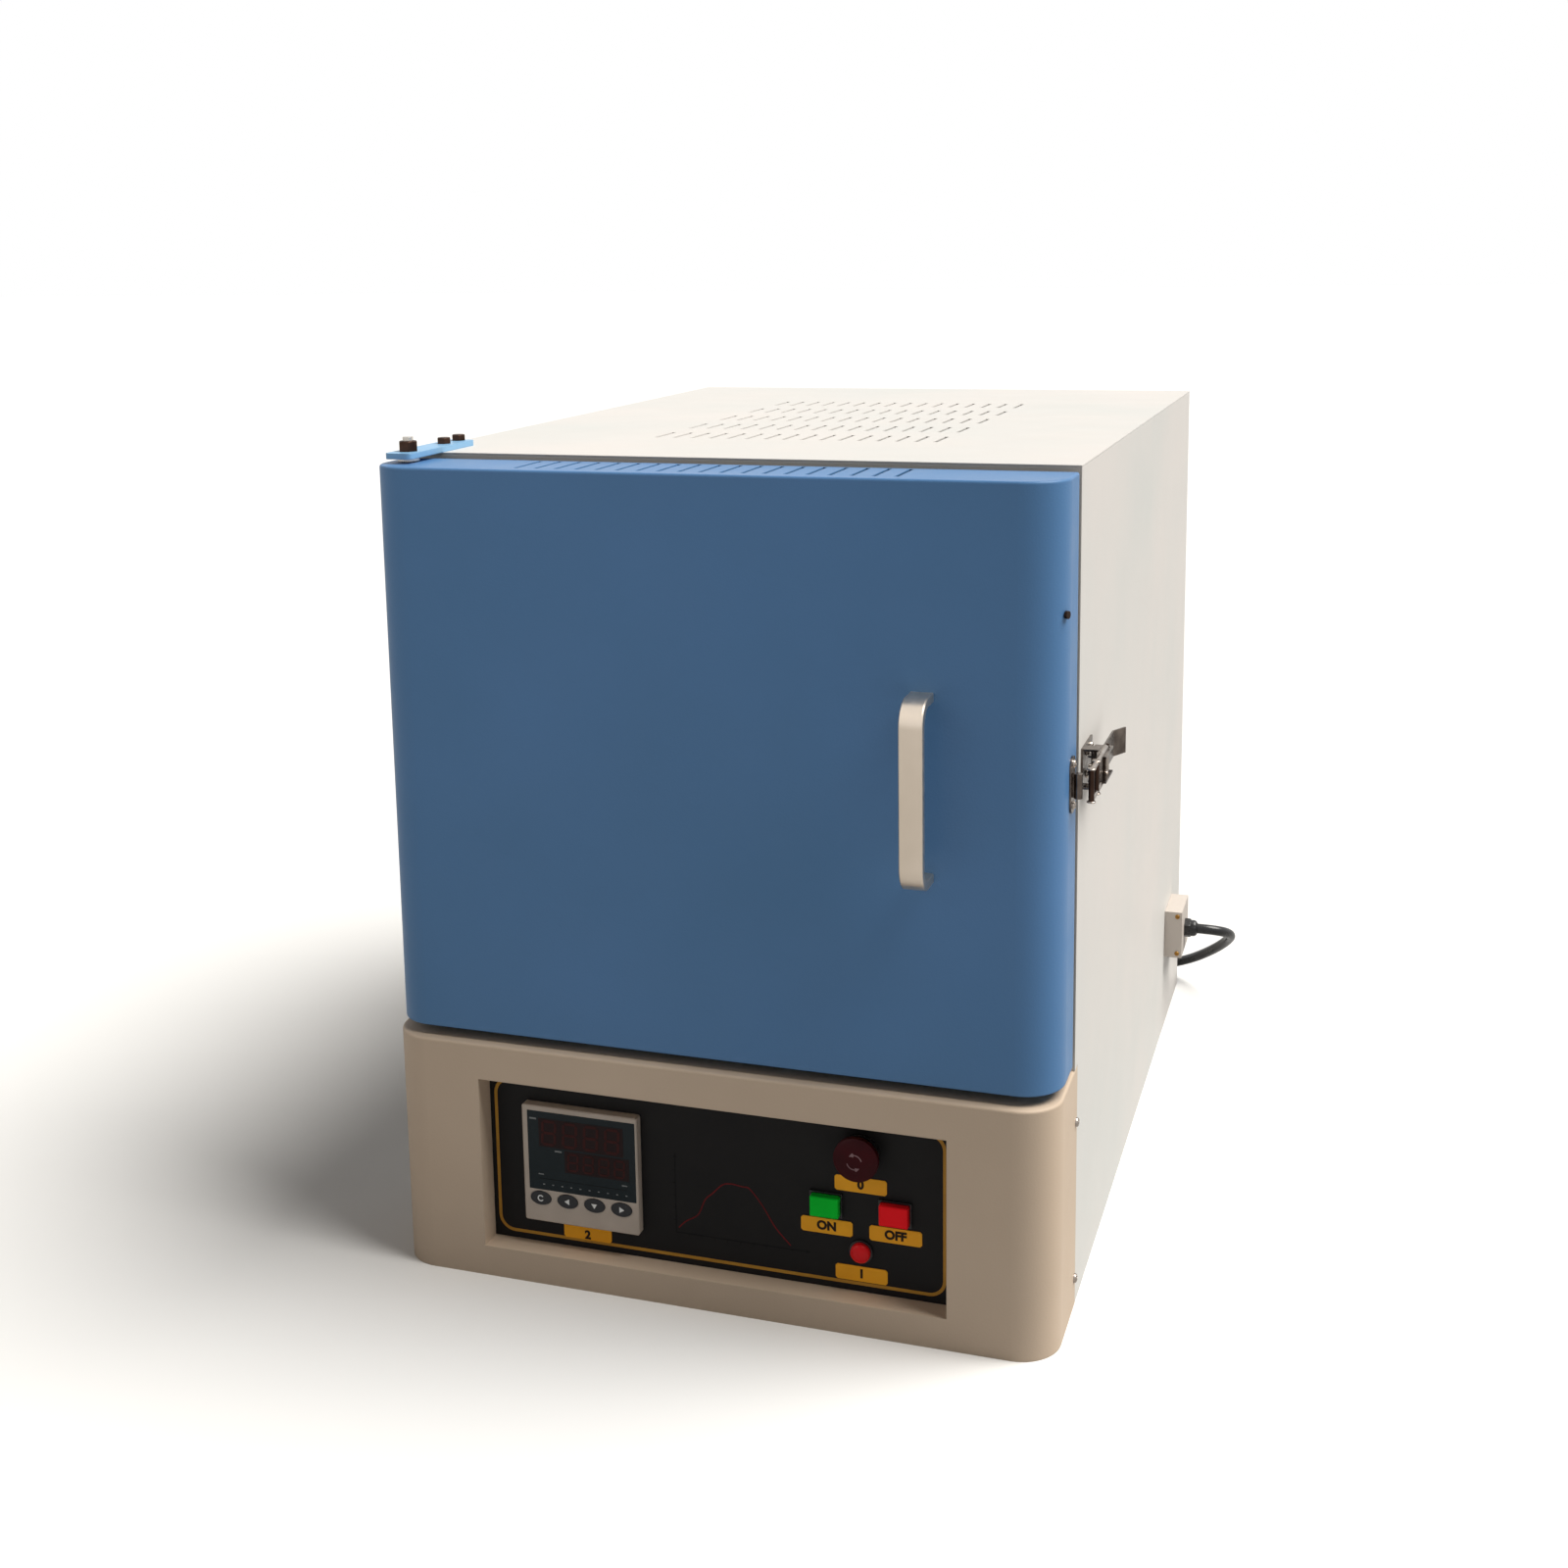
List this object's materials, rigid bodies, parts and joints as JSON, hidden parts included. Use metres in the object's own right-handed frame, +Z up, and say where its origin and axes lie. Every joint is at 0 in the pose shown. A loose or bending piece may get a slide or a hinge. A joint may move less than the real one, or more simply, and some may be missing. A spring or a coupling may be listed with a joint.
{
  "type": "muffle furnace",
  "caption": "Bench-top muffle furnace: insulated heated chamber behind a side-hinged door, on a control base with a temperature controller, buttons, stop switch and mains lead.",
  "frame": {"origin": "centre of the base's underside, on the surface it stands on", "axes": "+X to the right and +Y to the back as seen from the front, +Z up; the control panel and door face -Y"},
  "size_m": [0.5923, 0.9585, 0.656],
  "materials": {
    "blue_paint": "satin, fine orange peel",
    "light_paint": "satin, fine texture",
    "base_paint": "satin, fine texture",
    "zinc_sheet": "dull zinc",
    "fibre_board": "matte fibre board",
    "fibre_rope": "matte fibre",
    "resistance_wire": "oxidised",
    "hearth_ceramic": "matte",
    "black_panel": "satin film",
    "controller_plastic": "fine matte",
    "dark_window": "gloss",
    "key_rubber": "matte",
    "black_plastic": "satin",
    "green_plastic": "gloss",
    "red_plastic": "gloss",
    "dark_red_plastic": "gloss",
    "gold_label": "anodised",
    "satin_aluminium": "satin anodised",
    "bright_steel": "bright plated",
    "dark_steel": "black oxide",
    "bush_brass": "turned",
    "latch_plate": "bright plated",
    "box_steel": "satin",
    "cord_rubber": "matte",
    "tie_plastic": "matte",
    "pin_brass": "plated"
  },
  "bodies": {
    "cabinet": {"base_tray": "base_paint", "casing_left": "light_paint", "casing_right": "light_paint", "casing_back": "light_paint", "casing_top": "light_paint", "front_panel": "light_paint", "chamber_shelf": "zinc_sheet", "insulation_floor": "fibre_board", "insulation_roof": "fibre_board", "insulation_rear": "fibre_board", "insulation_left": "fibre_board", "insulation_right": "fibre_board", "heating_elements": "resistance_wire", "hearth_plate": "hearth_ceramic", "thermocouple": "hearth_ceramic", "fascia": "base_paint", "casing_screws": "bright_steel", "panel_plate": "black_panel", "controller_bezel": "controller_plastic", "controller_window": "dark_window", "switch_bodies": "black_plastic", "panel_rims": "black_plastic", "lamp_body": "black_plastic", "lamp_lens": "red_plastic", "label_plates": "gold_label", "hinge_bar": "blue_paint", "hinge_bolts": "dark_steel", "hinge_pivots": "bright_steel", "hinge_washers": "bright_steel", "latch_base": "latch_plate", "latch_screws": "bright_steel", "terminal_box": "box_steel", "terminal_screws": "bright_steel", "cable_gland": "black_plastic", "mains_cord": "cord_rubber", "cord_coil": "cord_rubber", "cord_tie": "tie_plastic", "mains_plug": "cord_rubber", "plug_pins": "pin_brass"},
    "door": {"door_shell": "blue_paint", "door_back": "zinc_sheet", "door_insulation": "fibre_board", "door_gasket": "fibre_rope", "handle": "satin_aluminium", "handle_screws": "bright_steel", "door_side_pin": "dark_steel", "hinge_bushes": "bush_brass", "latch_keeper": "latch_plate", "keeper_screws": "bright_steel"},
    "latch_lever_body": {"latch_lever": "latch_plate"},
    "latch_link_body": {"latch_link": "latch_plate"},
    "stop_plunger": {"stop_stem": "black_plastic"},
    "stop_knob": {"stop_head": "dark_red_plastic"},
    "green_button_cap": {"green_button": "green_plastic"},
    "red_button_cap": {"red_button": "red_plastic"},
    "controller_key_1_cap": {"controller_key_1": "key_rubber"},
    "controller_key_2_cap": {"controller_key_2": "key_rubber"},
    "controller_key_3_cap": {"controller_key_3": "key_rubber"},
    "controller_key_4_cap": {"controller_key_4": "key_rubber"}
  },
  "joints": [
    {"name": "door_hinge", "type": "hinge", "parent": "cabinet", "child": "door", "pos_m": [-0.245, -0.338, 0.4185], "axis": [0, 0, -1], "range_deg": [0, 115]},
    {"name": "latch_lever_hinge", "type": "hinge", "parent": "cabinet", "child": "latch_lever_body", "pos_m": [0.271, -0.287, 0.419], "axis": [0, 0, -1], "range_deg": [0, 110]},
    {"name": "latch_link_hinge", "type": "hinge", "parent": "latch_lever_body", "child": "latch_link_body", "pos_m": [0.2772, -0.263, 0.419], "axis": [0, 0, -1], "range_deg": [-110, 0]},
    {"name": "stop_press", "type": "slide", "parent": "cabinet", "child": "stop_plunger", "axis": [0, 1, 0], "range_m": [0, 0.005]},
    {"name": "stop_twist", "type": "hinge", "parent": "stop_plunger", "child": "stop_knob", "pos_m": [0.115, -0.372, 0.136], "axis": [0, 1, 0], "range_deg": [0, 45], "stiffness_Nm_per_rad": 0.05},
    {"name": "green_button_press", "type": "slide", "parent": "cabinet", "child": "green_button_cap", "axis": [0, 1, 0], "range_m": [0, 0.003], "stiffness_N_per_m": 400},
    {"name": "red_button_press", "type": "slide", "parent": "cabinet", "child": "red_button_cap", "axis": [0, 1, 0], "range_m": [0, 0.003], "stiffness_N_per_m": 400},
    {"name": "controller_key_1_press", "type": "slide", "parent": "cabinet", "child": "controller_key_1_cap", "axis": [0, 1, 0], "range_m": [0, 0.0008], "stiffness_N_per_m": 300},
    {"name": "controller_key_2_press", "type": "slide", "parent": "cabinet", "child": "controller_key_2_cap", "axis": [0, 1, 0], "range_m": [0, 0.0008], "stiffness_N_per_m": 300},
    {"name": "controller_key_3_press", "type": "slide", "parent": "cabinet", "child": "controller_key_3_cap", "axis": [0, 1, 0], "range_m": [0, 0.0008], "stiffness_N_per_m": 300},
    {"name": "controller_key_4_press", "type": "slide", "parent": "cabinet", "child": "controller_key_4_cap", "axis": [0, 1, 0], "range_m": [0, 0.0008], "stiffness_N_per_m": 300}
  ],
  "couplings": [
    {"joint": "latch_link_hinge", "follows": "latch_lever_hinge", "ratio": -1}
  ]
}
